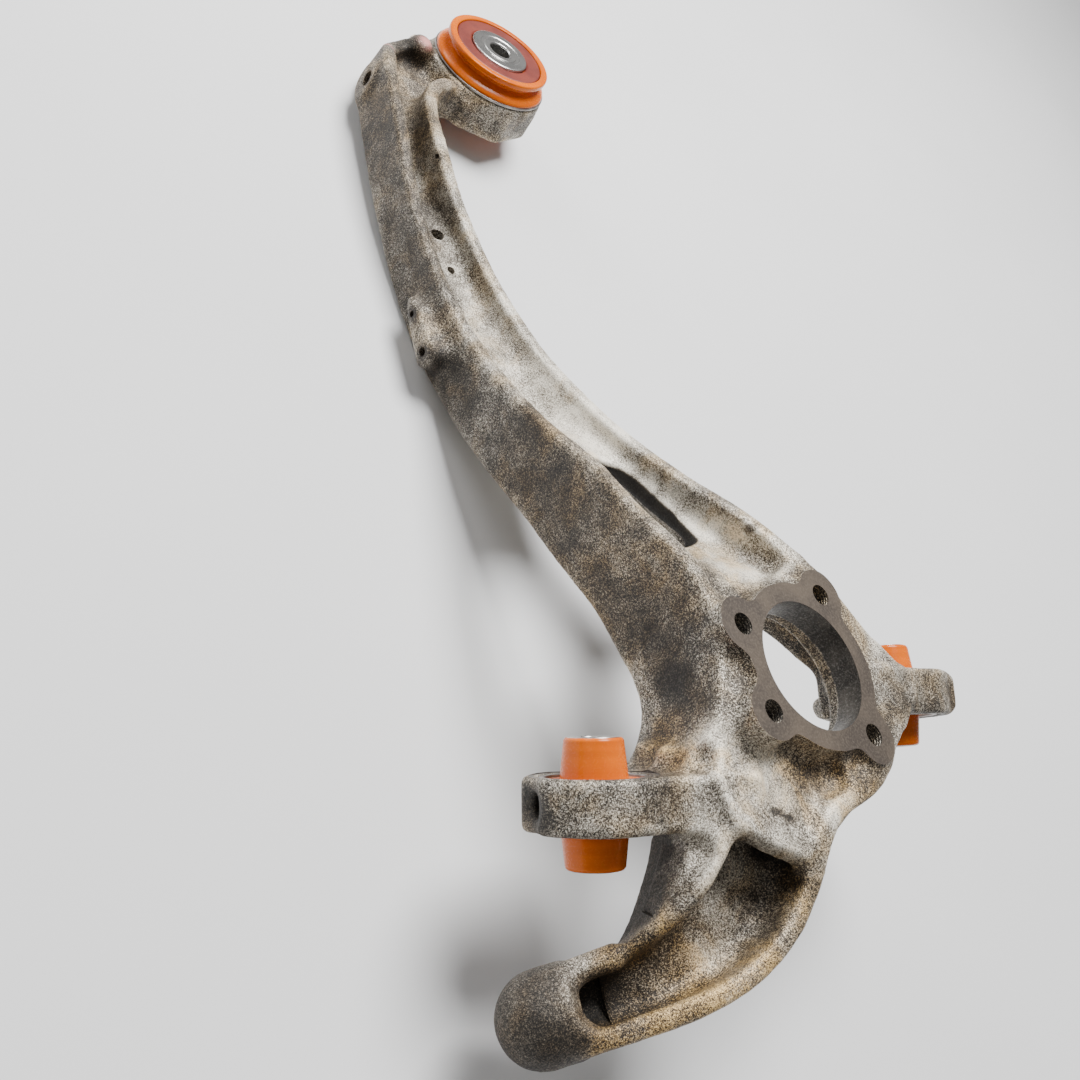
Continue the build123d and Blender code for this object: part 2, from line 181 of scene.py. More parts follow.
def lattice_noise(points, size, seed):
    """Smooth value noise between -1 and 1 with features of the given size."""
    cells = 32
    table = np.random.default_rng(seed).uniform(-1.0, 1.0, (cells, cells, cells))
    q = points / size
    low = np.floor(q).astype(int)
    f = q - low
    f = f * f * (3.0 - 2.0 * f)
    total = np.zeros(len(points))
    for dx in (0, 1):
        for dy in (0, 1):
            for dz in (0, 1):
                weight = np.abs(1 - dx - f[:, 0]) * np.abs(1 - dy - f[:, 1]) * np.abs(1 - dz - f[:, 2])
                cell = (low + np.array([dx, dy, dz])) % cells
                total += weight * table[cell[:, 0], cell[:, 1], cell[:, 2]]
    return total


def edge_pairs(mesh):
    pairs = np.empty(len(mesh.edges) * 2, np.int32)
    mesh.edges.foreach_get("vertices", pairs)
    return pairs.reshape(-1, 2)


def relax(points, pairs, rounds, amount=0.5):
    """Laplacian smoothing over the mesh's edges."""
    count = len(points)
    both = np.concatenate([pairs, pairs[:, ::-1]])
    degree = np.bincount(both[:, 0], minlength=count)[:, None]
    moved = points.copy()
    for _ in range(rounds):
        sums = [np.bincount(both[:, 0], weights=moved[both[:, 1], k], minlength=count) for k in range(3)]
        moved += amount * (np.stack(sums, 1) / degree - moved)
    return moved


def mesh_points(mesh):
    points = np.empty(len(mesh.vertices) * 3, np.float32)
    mesh.vertices.foreach_get("co", points)
    return points.reshape(-1, 3).astype(float)


def mesh_normals(mesh):
    normals = np.empty(len(mesh.vertices) * 3, np.float32)
    mesh.vertices.foreach_get("normal", normals)
    return normals.reshape(-1, 3).astype(float)


def set_points(mesh, points):
    mesh.vertices.foreach_set("co", np.ascontiguousarray(points, np.float32).ravel())
    mesh.update()


def machining_stock(casting):
    """Raises the hub flange a little, so that its face can be cut back to a crisp machined edge."""
    places = [(0.0, 0.0, HUB_DISC)] + [(*hub_bolt(angle), HUB_EAR) for angle in HUB_BOLT_ANGLES]
    for x, y, radius in places:
        combine(casting, cylinder("stock", (x, y, -6.0), (x, y, 5.0), radius), "UNION")


def drill(tools, centre, axis, low, high, radius, segments=128):
    """Adds a round cutter that reaches between two distances along an axis."""
    way = Vector(axis).normalized()
    start = Vector(centre) + way * low
    combine(tools, cylinder("cutter", start, Vector(centre) + way * high, radius, segments), "UNION")


def threaded(tools, centre, axis, low, high, radius, pitch):
    """Adds a tapped hole's cutter: a stack of grooves, one for every turn of the thread."""
    start = Vector(centre) + Vector(axis).normalized() * low
    turns = int((high - low) / pitch)
    profile = [(0.0, 0.0)]
    for i in range(turns):
        profile += [(radius, i * pitch), (radius + 0.45 * pitch, (i + 0.5) * pitch)]
    profile += [(radius, turns * pitch), (radius, high - low), (0.0, high - low)]
    segments = 64
    points = [(0.0, 0.0, 0.0)]
    ring = profile[1:-1]
    for i in range(segments):
        angle = 2 * pi * i / segments
        points += [(r * cos(angle), r * sin(angle), z) for r, z in ring]
    points.append((0.0, 0.0, high - low))
    faces = []
    for i in range(segments):
        a, b = 1 + i * len(ring), 1 + (i + 1) % segments * len(ring)
        faces.append((0, b, a))
        faces += [(a + k, b + k, b + k + 1, a + k + 1) for k in range(len(ring) - 1)]
        faces.append((a + len(ring) - 1, b + len(ring) - 1, len(points) - 1))
    x, y, z = axes(axis)
    turn = Matrix((x, y, z)).transposed()
    cutter = mesh_object("thread", [turn @ Vector(p) + start for p in points], faces)
    combine(tools, cutter, "UNION")


def machine(casting):
    """Every cut made after casting: the hub face and bore, the tapped holes and the bush bores."""
    tools = cylinder("tools", HUB_CENTRE, (0, 0, 12), 90.0)
    drill(tools, HUB_CENTRE, UP, -90, 12, HUB_BORE, 256)
    drill(tools, HUB_CENTRE, UP, -90, -HUB_LAND, HUB_RELIEF, 256)
    for angle in HUB_BOLT_ANGLES:
        drill(tools, (*hub_bolt(angle), 0.0), UP, -HUB_BOLT_DEPTH - 14, 6, HUB_BOLT)
        threaded(tools, (*hub_bolt(angle), 0.0), UP, -HUB_BOLT_DEPTH, 6, HUB_BOLT - 0.2, 1.5)
    drill(tools, FRONT_CENTRE, FRONT_AXIS, -70, 10, FRONT_BORE, 256)
    for centre, axis, half in (
            (LOWER_CENTRE, LOWER_AXIS, LOWER_EYE_HALF), (UPPER_CENTRE, UPPER_AXIS, UPPER_EYE_HALF)):
        drill(tools, centre, axis, -45, 45, LINK_BORE, 192)
        drill(tools, centre, axis, half, half + 6, LINK_FACE, 192)
        drill(tools, centre, axis, -half - 6, -half, LINK_FACE, 192)
    drill(tools, HORN_TIP, HORN_WAY, -26.0, -12.5, 9.5)
    threaded(tools, HORN_TIP, HORN_WAY, -14.0, 9.5, 7.0, 2.0)
    for centre, axis, low, high, radius, segments, _ in SMALL_HOLES:
        drill(tools, centre, axis, low, high, radius, segments)
    combine(casting, tools, "DIFFERENCE")


def cast_body():
    """The casting: sharp CAD corners become cast fillets, then the machined faces are cut."""
    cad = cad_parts["arm_casting"]
    points, triangles = triangles_of(cad)
    raw = array_mesh("raw", points / MM, triangles, np.zeros((0, 4), np.uint32))
    weld = raw.modifiers.new("weld", "WELD")
    weld.merge_threshold = 0.002
    graph = bpy.context.evaluated_depsgraph_get()
    raw.data = bpy.data.meshes.new_from_object(raw.evaluated_get(graph))
    raw.modifiers.clear()
    machining_stock(raw)
    for start, end, radius in CAST_LUMPS:
        combine(raw, cylinder("lump", start, end, radius, 32), "UNION")
    points, triangles = triangles_of(raw)
    bpy.data.objects.remove(raw)
    surface = (points.astype(np.float32), triangles, np.zeros((0, 4), np.uint32))
    surface = offset_surface(*surface, FILLET_STEP, CAST_FILLET)
    surface = offset_surface(*surface, FILLET_STEP, -CAST_FILLET)
    surface = offset_surface(*surface, ROUNDING_STEP, -EDGE_ROUNDING)
    surface = offset_surface(*surface, ROUNDING_STEP, EDGE_ROUNDING)
    casting = array_mesh("cast_arm_body", *surface)
    mesh = casting.data
    points = relax(mesh_points(mesh), edge_pairs(mesh), 6)
    set_points(mesh, points)
    ripple = BROAD_RIPPLE * lattice_noise(points, 17.0, 11) + FINE_RIPPLE * lattice_noise(points, 5.0, 12)
    set_points(mesh, points + mesh_normals(mesh) * ripple[:, None])
    machine(casting)
    return casting


def window_wall_shade(points, normals):
    """Painted shade: one on the steep walls within the window beside the hub, falling to zero over its
    rounded edge.
    """
    x, y, z = points.T
    edge = np.interp(x, *zip(*WINDOW_EDGE))
    middle_x, middle_y = WINDOW_MIDDLE
    inward = (middle_x - x) * normals[:, 0] + (middle_y - y) * normals[:, 1] > 0.0
    beside = (x > 66) & (x < 142) & (y > edge - 1.5) & (y < 60) & (z < -30)
    steep = np.clip((0.52 - normals[:, 2]) / 0.25, 0.0, 1.0)
    return (inward & (normals[:, 1] > -0.3) & beside) * steep


def paint_attributes(casting):
    """Stores wear on raised edges, painted shade in hollows and on the window's walls, and the listed patches
    of stains, painted shade and painted light, for the shader to use.
    """
    mesh = casting.data
    points = mesh_points(mesh)
    normals = mesh_normals(mesh)
    pairs = edge_pairs(mesh)
    near = relax(points, pairs, 40)
    bulge = ((points - near) * normals).sum(1)
    raised = np.clip(bulge / WEAR_AND_SHADE_DEPTH, 0.0, 1.0)
    # Shade painted into hollows, where the surface dips below its smoothed copy.
    hollow_shade = np.clip(-bulge / WEAR_AND_SHADE_DEPTH, 0.0, 1.0)
    for centre, axis, reach in HOLE_ZONES:
        way = np.array(Vector(axis).normalized())
        away = points - np.array(centre)
        along = away @ way
        radial = np.linalg.norm(away - along[:, None] * way, axis=1)
        near_hole = (radial < reach) & (np.abs(along) < 60.0)
        raised[near_hole] = 0.0
        hollow_shade[near_hole] = 0.0
    values = {"raised": raised, "hollow_shade": hollow_shade}
    for name, spots in PATCHES.items():
        total = np.zeros(len(points))
        warp = points + 5.0 * np.stack([lattice_noise(points, 14.0, 20 + k) for k in range(3)], 1)
        for x, y, z, radius, strength in spots:
            away = ((warp - np.array([x, y, z])) ** 2).sum(1) / radius ** 2
            total = np.maximum(total, strength * np.exp(-away * away))
        values[name] = total
    # Painted shade on the steep walls within the window.
    values["window_shade"] = window_wall_shade(points, normals)
    for name, value in values.items():
        attribute = mesh.attributes.new(name, "FLOAT", "POINT")
        attribute.data.foreach_set("value", value.astype(np.float32))


def assign_faces(casting):
    """Face materials: 0 as cast, 1 machined flange, 2 machined bores and holes."""
    mesh = casting.data
    count = len(mesh.polygons)
    centres = np.empty(count * 3, np.float32)
    normals = np.empty(count * 3, np.float32)
    mesh.polygons.foreach_get("center", centres)
    mesh.polygons.foreach_get("normal", normals)
    centres, normals = centres.reshape(-1, 3), normals.reshape(-1, 3)
    index = np.zeros(count, np.int32)
    from_hub = np.hypot(centres[:, 0], centres[:, 1])
    index[(np.abs(from_hub - HUB_BORE) < 0.15) & (centres[:, 2] > -HUB_LAND)] = 2
    for x, y in [hub_bolt(angle) for angle in HUB_BOLT_ANGLES]:
        index[np.hypot(centres[:, 0] - x, centres[:, 1] - y) < HUB_BOLT + 0.1] = 2
    for centre, axis, radius, reach in (
            (FRONT_CENTRE, FRONT_AXIS, 34.2, 80), (LOWER_CENTRE, LOWER_AXIS, 27.3, 14),
            (UPPER_CENTRE, UPPER_AXIS, 27.3, 14), (HORN_TIP, HORN_WAY, 7.2, 18)):
        way = np.array(Vector(axis).normalized())
        away = centres - np.array(centre)
        along = away @ way
        radial = np.linalg.norm(away - along[:, None] * way, axis=1)
        across = np.abs((normals @ way))
        turned = (radial < radius) & (np.abs(along) < reach) & ((across > 0.995) | (across < 0.02))
        index[turned] = 2
    index[(centres[:, 2] > -0.02) & (normals[:, 2] > 0.99)] = 1
    mesh.polygons.foreach_set("material_index", index)


# Round each bore and hole the edge wear and the shade painted into hollows are left out: centre, axis and
# reach.
HOLE_ZONES = [((*hub_bolt(angle), 0.0), UP, 8.0) for angle in HUB_BOLT_ANGLES]
HOLE_ZONES += [(HUB_CENTRE, UP, 34.5), (FRONT_CENTRE, FRONT_AXIS, 36.0)]
HOLE_ZONES += [(LOWER_CENTRE, LOWER_AXIS, 25.0), (UPPER_CENTRE, UPPER_AXIS, 25.0)]
HOLE_ZONES += [(centre, axis, reach) for centre, axis, *_, reach in SMALL_HOLES]

# The window beside the hub: its middle, and its edge on the -Y side as x and y.
WINDOW_MIDDLE = (107.0, 33.0)
WINDOW_EDGE = ((76, 13), (80, 8), (90, 7.5), (102, 8.5), (114, 11.7), (128, 15.5), (136, 21), (139, 30))

# Small raised runs left by the mould beside the lower link neck: start, end and radius.
CAST_LUMPS = (
    ((-38, 63, -26), (-34, 67.5, -27), 4.0),
    ((-33, 64, -33), (-27, 66.0, -41), 4.0),
    ((-26, 61, -44), (-19, 61.5, -58), 3.6),
)

# Patches of colour on the casting, among them painted shade and painted light: x, y, z, radius and strength,
# in millimetres.
PATCHES = {
    # These patches darken the casting: its own marks and stains, such as the dark dimple beside the hub and
    # the small dark spots, and painted shade in the horn's pocket, over the horn's end and toward the bottom
    # of the +Y wall.
    "stain_and_shade": [
        (22, 53, -38, 15, 0.75), (6, 53, -34, 12, 0.8), (40, 56, -62, 22, 0.55), (135, 68, -83, 12, 0.6),
        (76.7, -7, -14.6, 4.5, 1.0), (107, -38, -78, 14, 0.6), (-65, 31.5, -13, 3.5, 1.0),
        (-62, 36, -13, 2.5, 0.9), (-43, 2, -11, 4.5, 0.6), (-44, 129, -58, 12, 1.0),
        (-122, 122, -96, 36, 0.85), (-112, 104, -80, 16, 0.9),
        (0, -128, -36, 20, 0.7), (-60, 58, -66, 26, 1.0), (-80, 72, -70, 22, 0.9), (470, 60, -116, 18, 0.55),
        (-79, 75, -57, 11, 0.95), (-66, 68, -55, 11, 1.0), (-87, 78, -65, 12, 0.8), (-69, 57, -72, 14, 1.0),
        (471, -40, -125, 40, 0.35), (224, 84, -121, 12, 0.75), (254, 88, -120, 7, 0.7),
        (-52, 10, -12, 12, 0.35),
        (113, 56, -72, 30, 0.5), (-70, 20, -34, 10, 0.8), (-8, 50, -30, 14, 0.5), (150, 70, -100, 30, 0.35),
        (200, 76, -122, 26, 0.5), (90, 64, -80, 22, 0.5), (60, 58, -68, 16, 0.45), (330, 92, -118, 40, 0.45),
        (380, 96, -116, 40, 0.45), (285, 88, -122, 34, 0.45), (430, 92, -118, 24, 0.4),
        (-60, 112, -55, 22, 0.3),
        (100, 64, -48, 16, 0.45), (150, 72, -76, 20, 0.5), (40, 60, -30, 16, 0.4), (484, 10, -108, 30, 0.3),
    ],
    # These patches lighten the casting and even its speckle: along the window's bank, on the smoother inner
    # faces toward the channel and round the hub, and as painted light on the channel floor by the two holes
    # and on the rib's inner face toward the front bush.
    "pale_and_lit": [
        (109, 9, -50, 9, 1.0), (94, 5, -42, 9, 1.0), (124, 13, -57, 9, 1.0), (136, 19, -63, 10, 1.0),
        (83, 3, -36, 9, 1.0), (150, 20, -76, 24, 1.0),
        (175, 26, -86, 26, 1.0), (205, 36, -97, 28, 0.9), (240, 46, -108, 26, 0.7), (270, 54, -110, 18, 0.5),
        (60, 10, -16, 20, 0.9), (64, 40, -24, 14, 0.8), (72, 0, -26, 14, 0.9), (-40, 50, -12, 24, 0.65),
        (-55, 58, -18, 18, 0.6), (-66, 66, -22, 16, 0.55), (-80, 50, -40, 30, 0.45), (-62, 8, -8, 12, 0.6),
        (300, 60, -114, 20, 0.7), (330, 68, -114, 20, 0.6), (360, 70, -112, 20, 0.6),
        (395, 72, -112, 20, 0.5),
        (340, 60, -98, 14, 0.6), (370, 64, -96, 14, 0.6), (400, 62, -97, 14, 0.5),
        (-10, 30, -12, 14, 0.5), (20, -70, -8, 25, 0.4), (-30, 110, -46, 16, 0.4), (-97, 50, -56, 18, 0.45),
    ],
    "gold": [
        (-130, 60, -40, 36, 1.0), (-100, 24, -24, 22, 0.7), (-22, 62, -45, 16, 1.0), (-34, 65, -30, 10, 0.9),
        (60, 60, -45, 40, 0.45), (120, 66, -70, 40, 0.4), (-133, 95, -60, 26, 1.0), (-100, 92, -55, 18, 0.8),
        (22, -26, -18, 30, 0.6), (-50, 20, -11, 20, 0.5), (64, 20, -20, 26, 0.5), (-40, 50, -12, 26, 0.35),
        (400, 66, -100, 60, 0.4), (-60, -10, -8, 20, 0.8), (20, -90, -20, 26, 0.6),
    ],
    "pink": [(469.5, 52, -101.5, 5.5, 0.9), (453, 81, -104.7, 5.0, 0.55), (440, 80, -104, 4.0, 0.35)],
}


# ---- shader helpers ------------------------------------------------------------------
class Graph:
    """A material's node tree with short names for the nodes used here."""

    def __init__(self, name):
        self.material = bpy.data.materials.new(name)
        self.material.use_nodes = True
        self.tree = self.material.node_tree
        self.shader = self.tree.nodes["Principled BSDF"]
        self.coordinates = self.tree.nodes.new("ShaderNodeTexCoord").outputs["Object"]

    def link(self, output, socket):
        self.tree.links.new(output, socket)

    def feed(self, node, name, value):
        socket = node.inputs[name]
        if hasattr(value, "is_output"):
            self.link(value, socket)
        else:
            socket.default_value = value

    def noise(self, scale, detail=3.0, roughness=0.6, distortion=0.0, stretch=None):
        node = self.tree.nodes.new("ShaderNodeTexNoise")
        source = self.coordinates
        if stretch is not None:
            mapping = self.tree.nodes.new("ShaderNodeMapping")
            mapping.inputs["Scale"].default_value = stretch
            self.link(source, mapping.inputs["Vector"])
            source = mapping.outputs["Vector"]
        self.link(source, node.inputs["Vector"])
        node.inputs["Scale"].default_value = scale
        node.inputs["Detail"].default_value = detail
        node.inputs["Roughness"].default_value = roughness
        node.inputs["Distortion"].default_value = distortion
        return node.outputs["Fac"]

    def ramp(self, value, low, high, out_low=0.0, out_high=1.0):
        node = self.tree.nodes.new("ShaderNodeMapRange")
        node.interpolation_type = "SMOOTHSTEP"
        self.link(value, node.inputs["Value"])
        node.inputs["From Min"].default_value = low
        node.inputs["From Max"].default_value = high
        node.inputs["To Min"].default_value = out_low
        node.inputs["To Max"].default_value = out_high
        return node.outputs["Result"]

    def math(self, operation, a, b=0.0, clamp=False):
        node = self.tree.nodes.new("ShaderNodeMath")
        node.operation = operation
        node.use_clamp = clamp
        for socket, value in zip(node.inputs, (a, b)):
            if hasattr(value, "is_output"):
                self.link(value, socket)
            else:
                socket.default_value = value
        return node.outputs[0]

    def mix(self, factor, a, b, blend="MIX"):
        node = self.tree.nodes.new("ShaderNodeMix")
        node.data_type = "RGBA"
        node.blend_type = blend
        for index, value in ((0, factor), (6, a), (7, b)):
            socket = node.inputs[index]
            if hasattr(value, "is_output"):
                self.link(value, socket)
            else:
                socket.default_value = value if index == 0 else (*value, 1.0)
        return node.outputs[2]

    def attribute(self, name):
        node = self.tree.nodes.new("ShaderNodeAttribute")
        node.attribute_name = name
        return node.outputs["Fac"]

    def bump(self, height, strength, distance, under=None):
        node = self.tree.nodes.new("ShaderNodeBump")
        node.inputs["Strength"].default_value = strength
        node.inputs["Distance"].default_value = distance
        self.link(height, node.inputs["Height"])
        if under is not None:
            self.link(under, node.inputs["Normal"])
        return node.outputs["Normal"]

    def finish(self, **sockets):
        for name, value in sockets.items():
            self.feed(self.shader, name.replace("_", " "), value)
        return self.material


def cast_material():
    g = Graph("sand_cast_aluminium")
    fine = g.noise(2200.0, 2.0, 0.7)
    grain = g.noise(1050.0, 3.0, 0.7)
    patch = g.noise(75.0, 5.0, 0.62, 0.4)
    broad = g.noise(19.0, 4.0, 0.6, 0.5)
    streak = g.noise(260.0, 3.0, 0.6, 0.3, (0.12, 1.0, 1.0))
    raised, hollow_shade = g.attribute("raised"), g.attribute("hollow_shade")
    stain_and_shade, pale_and_lit = g.attribute("stain_and_shade"), g.attribute("pale_and_lit")
    gold, pink = g.attribute("gold"), g.attribute("pink")
    tone = g.math("MULTIPLY", g.ramp(patch, 0.32, 0.70), 0.24)
    tone = g.math("ADD", tone, g.math("MULTIPLY", g.ramp(broad, 0.34, 0.66), 0.24))
    tone = g.math("ADD", tone, 0.07)
    tone = g.math("ADD", tone, g.math("MULTIPLY", raised, 0.24))
    # Paler faces and painted light lift the tone.
    tone = g.math("ADD", tone, g.math("MULTIPLY", pale_and_lit, 0.40))
    # Stains and painted shade lower the tone.
    tone = g.math("SUBTRACT", tone, g.math("MULTIPLY", stain_and_shade, 0.16))
    # Shade painted into hollows lowers it too.
    tone = g.math("SUBTRACT", tone, g.math("MULTIPLY", hollow_shade, 0.12))
    speck = g.math("ADD", g.math("MULTIPLY", g.ramp(fine, 0.36, 0.66), 0.60),
                   g.math("MULTIPLY", g.ramp(grain, 0.36, 0.66), 0.40))
    smooth_speck = g.ramp(streak, 0.30, 0.70, 0.30, 0.70)
    mixed = g.tree.nodes.new("ShaderNodeMix")
    g.link(g.math("MULTIPLY", pale_and_lit, 0.25), mixed.inputs[0])
    g.link(speck, mixed.inputs[2])
    g.link(smooth_speck, mixed.inputs[3])
    contrast = g.math("MULTIPLY", g.math("SUBTRACT", mixed.outputs[0], 0.44), 1.05)
    level = g.math("ADD", tone, contrast, clamp=True)
    # Stains and painted shade darken it further.
    level = g.math("MULTIPLY", level, g.math("SUBTRACT", 1.0, g.math("MULTIPLY", stain_and_shade, 0.55)))
    # Painted shade on the steep walls within the window.
    shade = g.math("MULTIPLY", g.attribute("window_shade"), 0.85)
    level = g.math("MULTIPLY", level, g.math("SUBTRACT", 1.0, shade))
    colour = g.mix(g.ramp(level, 0.04, 0.46), (0.010, 0.008, 0.006), (0.125, 0.102, 0.076))
    colour = g.mix(g.ramp(level, 0.32, 0.95), colour, (0.88, 0.82, 0.70))
    golden = g.math("MULTIPLY", g.ramp(g.noise(52.0, 4.0, 0.6, 0.6), 0.40, 0.66), 0.50)
    golden = g.math("ADD", golden, g.math("MULTIPLY", gold, g.ramp(grain, 0.35, 0.65, 0.35, 0.9)))
    golden = g.math("SUBTRACT", golden, g.math("MULTIPLY", pale_and_lit, 0.35), clamp=True)
    colour = g.mix(golden, colour, (0.95, 0.70, 0.36), "MULTIPLY")
    colour = g.mix(pink, colour, (0.62, 0.27, 0.24))
    rough = g.math("ADD", g.ramp(grain, 0.3, 0.7, 0.66, 0.40), g.math("MULTIPLY", stain_and_shade, 0.12), clamp=True)
    pits = g.bump(fine, 0.60, 0.00022)
    lumps = g.bump(grain, 0.70, 0.0005, pits)
    dents = g.bump(g.noise(170.0, 3.0, 0.6), 0.40, 0.0011, lumps)
    return g.finish(Base_Color=colour, Roughness=rough, Normal=dents, Metallic=0.25)


def machined_material():
    g = Graph("milled_flange_face")
    broad = g.noise(38.0, 5.0, 0.65, 0.5)
    fine = g.noise(900.0, 3.0, 0.7)
    marks = g.noise(420.0, 2.0, 0.5, 0.0, (1.0, 0.06, 1.0))
    colour = g.mix(g.ramp(broad, 0.34, 0.68), (0.040, 0.030, 0.023), (0.105, 0.082, 0.062))
    colour = g.mix(g.ramp(fine, 0.40, 0.75, 0.0, 0.40), colour, (0.20, 0.165, 0.130))
    rough = g.ramp(broad, 0.3, 0.7, 0.55, 0.40)
    normal = g.bump(marks, 0.20, 0.00015, g.bump(fine, 0.25, 0.0001))
    return g.finish(Base_Color=colour, Roughness=rough, Normal=normal, Metallic=0.3)


def bored_material():
    g = Graph("bored_hole_wall")
    broad = g.noise(60.0, 4.0, 0.6, 0.4)
    fine = g.noise(1100.0, 3.0, 0.7)
    colour = g.mix(g.ramp(broad, 0.35, 0.68), (0.030, 0.026, 0.022), (0.100, 0.088, 0.074))
    colour = g.mix(g.ramp(fine, 0.45, 0.75, 0.0, 0.5), colour, (0.30, 0.28, 0.25))
    rough = g.ramp(fine, 0.3, 0.7, 0.55, 0.38)
    return g.finish(Base_Color=colour, Roughness=rough, Normal=g.bump(fine, 0.35, 0.0002), Metallic=0.5)


def rings(g, scale, detail=2.0):
    """Noise that only changes with radius and height: the marks a lathe leaves."""
    split = g.tree.nodes.new("ShaderNodeSeparateXYZ")
    g.link(g.coordinates, split.inputs[0])
    squares = [g.math("POWER", split.outputs[k], 2.0) for k in (0, 1)]
    radius = g.math("SQRT", g.math("ADD", *squares))
    join = g.tree.nodes.new("ShaderNodeCombineXYZ")
    g.link(radius, join.inputs[0])
    g.link(split.outputs[2], join.inputs[2])
    node = g.tree.nodes.new("ShaderNodeTexNoise")
    g.link(join.outputs[0], node.inputs["Vector"])
    node.inputs["Scale"].default_value = scale
    node.inputs["Detail"].default_value = detail
    return node.outputs["Fac"]


def steel_material():
    g = Graph("turned_steel")
    marks = rings(g, 3200.0)
    broad = g.noise(70.0, 4.0, 0.6)
    colour = g.mix(g.ramp(broad, 0.35, 0.7), (0.46, 0.45, 0.43), (0.68, 0.67, 0.65))
    colour = g.mix(g.ramp(marks, 0.42, 0.62, 0.0, 0.35), colour, (0.36, 0.35, 0.34))
    rough = g.ramp(broad, 0.3, 0.7, 0.34, 0.24)
    return g.finish(Base_Color=colour, Roughness=rough, Normal=g.bump(marks, 0.18, 0.00006), Metallic=1.0)


def shell_material():
    g = Graph("pressed_shell_steel")
    broad = g.noise(90.0, 4.0, 0.6)
    fine = g.noise(800.0, 3.0, 0.6)
    colour = g.mix(g.ramp(broad, 0.35, 0.7), (0.16, 0.14, 0.13), (0.38, 0.36, 0.34))
    rough = g.ramp(fine, 0.3, 0.7, 0.45, 0.30)
    return g.finish(Base_Color=colour, Roughness=rough, Normal=g.bump(fine, 0.2, 0.0001), Metallic=0.9)


def polyurethane_material():
    g = Graph("orange_polyurethane")
    broad = g.noise(45.0, 3.0, 0.5, 0.3)
    fine = g.noise(900.0, 3.0, 0.6)
    flow = rings(g, 420.0, 3.0)
    colour = g.mix(g.ramp(broad, 0.3, 0.7), (0.58, 0.105, 0.0), (0.70, 0.145, 0.0))
    colour = g.mix(g.ramp(flow, 0.42, 0.66, 0.0, 0.30), colour, (0.45, 0.080, 0.0))
    rough = g.ramp(fine, 0.3, 0.7, 0.20, 0.30)
    normal = g.bump(fine, 0.10, 0.0001, g.bump(flow, 0.08, 0.0003))
    g.finish(Base_Color=colour, Roughness=rough, Normal=normal)
    return g.finish(Subsurface_Weight=0.22, Subsurface_Radius=(0.004, 0.0012, 0.0004), Coat_Weight=0.06,
                    Coat_Roughness=0.15, IOR=1.45, Specular_IOR_Level=0.25)


def thrust_material():
    g = Graph("brown_thrust_ring")
    broad = g.noise(70.0, 4.0, 0.6, 0.4)
    fine = g.noise(1000.0, 3.0, 0.7)
    colour = g.mix(g.ramp(broad, 0.3, 0.7), (0.120, 0.012, 0.006), (0.190, 0.026, 0.012))
    colour = g.mix(g.ramp(fine, 0.5, 0.8, 0.0, 0.4), colour, (0.08, 0.012, 0.007))
    rough = g.ramp(fine, 0.3, 0.7, 0.42, 0.55)
    return g.finish(Base_Color=colour, Roughness=rough, Normal=g.bump(fine, 0.25, 0.00015))


def floor_material():
    g = Graph("pale_floor")
    broad = g.noise(2.5, 3.0, 0.5)
    colour = g.mix(g.ramp(broad, 0.3, 0.7), (0.73, 0.73, 0.73), (0.77, 0.77, 0.77))
    return g.finish(Base_Color=colour, Roughness=g.ramp(broad, 0.3, 0.7, 0.80, 0.88))


# ---- bushes --------------------------------------------------------------------------
def rounded(profile):
    """Rounds the corners of a closed profile. A corner is radius, height and its rounding."""
    points = []
    count = len(profile)
    for i, (r, z, rounding) in enumerate(profile):
        here = np.array([r, z], float)
        before = np.array(profile[i - 1][:2], float) - here
        after = np.array(profile[(i + 1) % count][:2], float) - here
        reach = min(rounding, 0.45 * np.linalg.norm(before), 0.45 * np.linalg.norm(after))
        if reach < 0.02:
            points.append(here)
            continue
        start = here + before / np.linalg.norm(before) * reach
        end = here + after / np.linalg.norm(after) * reach
        for t in np.linspace(0.0, 1.0, 6):
            points.append((1 - t) ** 2 * start + 2 * t * (1 - t) * here + t * t * end)
    return points


def lathe(name, profile, centre, axis, material, segments=192):
    """A turned ring: its closed profile swept round its axis."""
    outline = rounded(profile)
    count = len(outline)
    points = []
    for i in range(segments):
        angle = 2 * pi * i / segments
        points += [(r * cos(angle) * MM, r * sin(angle) * MM, z * MM) for r, z in outline]
    faces = []
    area = sum(outline[k][0] * outline[(k + 1) % count][1] - outline[(k + 1) % count][0] * outline[k][1]
               for k in range(count))
    for i in range(segments):
        j = (i + 1) % segments
        for k in range(count):
            n = (k + 1) % count
            face = (i * count + k, j * count + k, j * count + n, i * count + n)
            faces.append(face if area > 0 else face[::-1])
    made = mesh_object(name, points, faces, placement(centre, axis))
    made.data.materials.append(material)
    smooth(made)
    return made


def smooth(made, angle=38.0):
    made.data.polygons.foreach_set("use_smooth", np.ones(len(made.data.polygons), bool))
    made.data.set_sharp_from_angle(angle=radians(angle))


def add_piece(made, body, node):
    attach(made, body)
    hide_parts(node)


